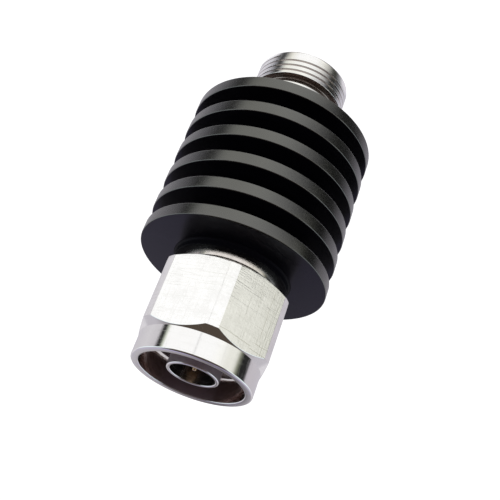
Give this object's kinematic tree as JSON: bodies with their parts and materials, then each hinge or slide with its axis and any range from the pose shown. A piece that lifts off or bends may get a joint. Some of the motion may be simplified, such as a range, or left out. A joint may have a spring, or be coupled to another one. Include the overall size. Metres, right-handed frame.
{
  "type": "rf attenuator",
  "caption": "Fixed coaxial attenuator with a finned round heat sink between a plug with a hexagonal coupling nut and a threaded socket.",
  "frame": {"origin": "centre of the socket's end face, on the axis", "axes": "+Z along the axis from the socket to the plug; -Y faces the side that the picture shows"},
  "size_m": [0.03, 0.03, 0.0577],
  "materials": {
    "black_anodised": "satin",
    "nickel_plate": "polished",
    "bare_brass": "satin",
    "gold_plate": "polished",
    "spring_bronze": "satin",
    "silicone": "matte",
    "ptfe": "satin",
    "steel_screws": "satin",
    "ceramic": "matte",
    "silver_tab": "satin"
  },
  "bodies": {
    "root": {"heat_sink": "black_anodised", "snap_ring": "spring_bronze", "gasket": "silicone", "plug_body": "nickel_plate", "plug_insulator": "ptfe", "plug_bush": "bare_brass", "plug_pin": "gold_plate", "socket_body": "nickel_plate", "socket_insulator": "ptfe", "socket_bush": "bare_brass", "socket_contact": "gold_plate", "carrier_base": "bare_brass", "carrier_cap": "bare_brass", "carrier_screw_1": "steel_screws", "carrier_screw_2": "steel_screws", "carrier_screw_3": "steel_screws", "carrier_screw_4": "steel_screws", "attenuator_chip": "ceramic", "input_tab": "silver_tab", "output_tab": "silver_tab"},
    "nut": {"coupling_nut": "nickel_plate"}
  },
  "joints": [
    {"name": "nut_spin", "type": "hinge", "parent": "root", "child": "nut", "pos_m": [0, 0, 0.05], "axis": [0, 0, 1], "continuous": true}
  ]
}
